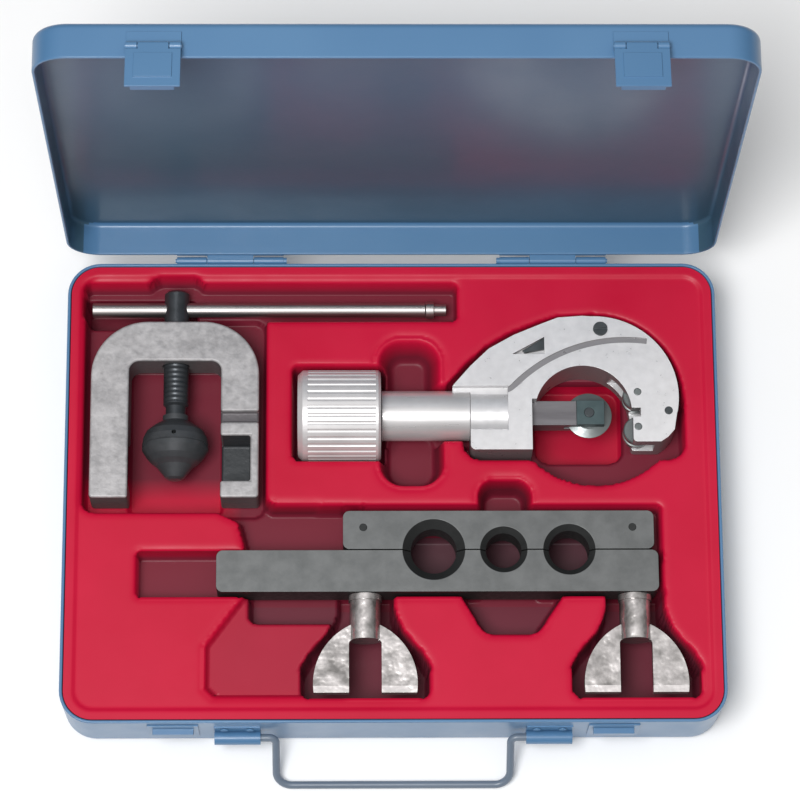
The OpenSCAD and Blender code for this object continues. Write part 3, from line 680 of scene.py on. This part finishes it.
def softened(Z):
    """Takes a little off each point that stands above its neighbours."""
    P = np.pad(Z, 1, mode="edge")
    near = (P[:-2, 1:-1] + P[2:, 1:-1] + P[1:-1, :-2] + P[1:-1, 2:]) / 4
    return np.where(near < Z, Z * (1 - TAKEN_OFF) + near * TAKEN_OFF, Z)


def tray():
    """The formed sheet as a height field whose grid is drawn onto the pocket edges."""
    inset = STEEL + 0.3
    x1, y1 = CASE_W / 2 - inset, CASE_D / 2 - inset
    nx, ny = int(2 * x1 / GRID), int(2 * y1 / GRID)
    gx, gy = np.linspace(-x1, x1, nx + 1), np.linspace(-y1, y1, ny + 1)
    X, Y = (a.copy() for a in np.meshgrid(gx, gy))
    move_x, move_y = drawn_to_edges(X, Y)
    edge_x, edge_y = np.abs(X) > x1 - GRID * EDGE_BAND, np.abs(Y) > y1 - GRID * EDGE_BAND
    X += np.where(edge_x, 0, move_x)
    Y += np.where(edge_y, 0, move_y)
    outer = box(X, Y, -x1, x1, -y1, y1, CORNER - inset)
    Z = softened(sheet_height(X, Y, outer))

    # points just past the rounded corners are brought back onto them, and the rest left out
    keep = outer < CORNER_REACH
    past = np.maximum(outer, 0)
    ex = np.maximum(np.abs(X) - (x1 - CORNER + inset), 0)
    ey = np.maximum(np.abs(Y) - (y1 - CORNER + inset), 0)
    away = np.maximum(np.hypot(ex, ey), 1e-6)
    X -= past * ex / away * np.sign(X)
    Y -= past * ey / away * np.sign(Y)
    index = -np.ones(X.shape, int)
    index[keep] = np.arange(keep.sum())
    verts = np.stack([X[keep], Y[keep], Z[keep]], 1) * MM
    corners = [index[:-1, :-1], index[:-1, 1:], index[1:, 1:], index[1:, :-1]]
    quads = np.stack(corners, -1).reshape(-1, 4)
    quads = quads[(quads >= 0).all(1)]
    return build("tray_skin", verts.tolist(), quads.tolist(), M_TRAY)


tray_ob = tray()
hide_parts(*(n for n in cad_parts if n.startswith("tray_")))
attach(tray_ob, "case")


# ---------------------------------------------------------------- stage

def floor():
    """Plain pale ground, a hair below the case."""
    half, level = 6.0, -0.4 * MM
    n = Nodes("floor_pale", Roughness=0.85)
    patch = n.remap(n.noise(3.0, 3.0), 0.3, 0.7, 0.0, 1.0)
    n.color(n.mix(patch, (0.94, 0.94, 0.94), (0.96, 0.96, 0.96)))
    n.bump(n.noise(260.0, 3.0), 0.05, 0.0003)
    verts = [(i * half, j * half, level) for i, j in ((-1, -1), (1, -1), (1, 1), (-1, 1))]
    ob = build("floor", verts, [(0, 1, 2, 3)], n.mat, smooth=False)


def key_light():
    """Soft box high to the front left."""
    data = bpy.data.lights.new("key", "AREA")
    data.shape = "RECTANGLE"
    data.size = 0.6
    data.size_y = 0.6
    data.energy = 19.5
    place, target = Vector((-0.30, -0.42, 1.50)), Vector((0, 0, 0.03))
    ob = bpy.data.objects.new("key", data)
    ob.location = place
    ob.rotation_euler = (target - place).to_track_quat("-Z", "Y").to_euler()
    bpy.context.scene.collection.objects.link(ob)


def studio_world():
    """White surroundings, brightest overhead and dim towards the horizon."""
    world = bpy.data.worlds.new("studio")
    world.use_nodes = True
    tree = world.node_tree
    sky = tree.nodes["Background"]
    way = tree.nodes.new("ShaderNodeSeparateXYZ")
    tree.links.new(tree.nodes.new("ShaderNodeTexCoord").outputs["Generated"], way.inputs[0])
    ramp = tree.nodes.new("ShaderNodeMapRange")
    for i, v in zip((1, 2, 3, 4), (0.30, 1.0, 0.06, 0.72)):
        ramp.inputs[i].default_value = v
    tree.links.new(way.outputs[2], ramp.inputs[0])
    tree.links.new(ramp.outputs[0], sky.inputs[1])
    sky.inputs[0].default_value = (1.0, 1.0, 1.0, 1.0)
    bpy.context.scene.world = world
    bpy.context.scene.view_settings.view_transform = "Standard"


def camera():
    """Long lens looking steeply down from the front."""
    data = bpy.data.cameras.new("camera")
    data.lens = 156.44
    data.sensor_width = 36.0
    data.clip_start = 0.05
    data.clip_end = 30.0
    data.dof.use_dof = False
    ob = bpy.data.objects.new("camera", data)
    ob.location = (-0.01779, -0.36459, 1.35842)
    ob.rotation_euler = (math.radians(16.839), math.radians(-0.806), math.radians(-0.316))
    bpy.context.scene.collection.objects.link(ob)
    bpy.context.scene.camera = ob


floor()
key_light()
studio_world()
camera()
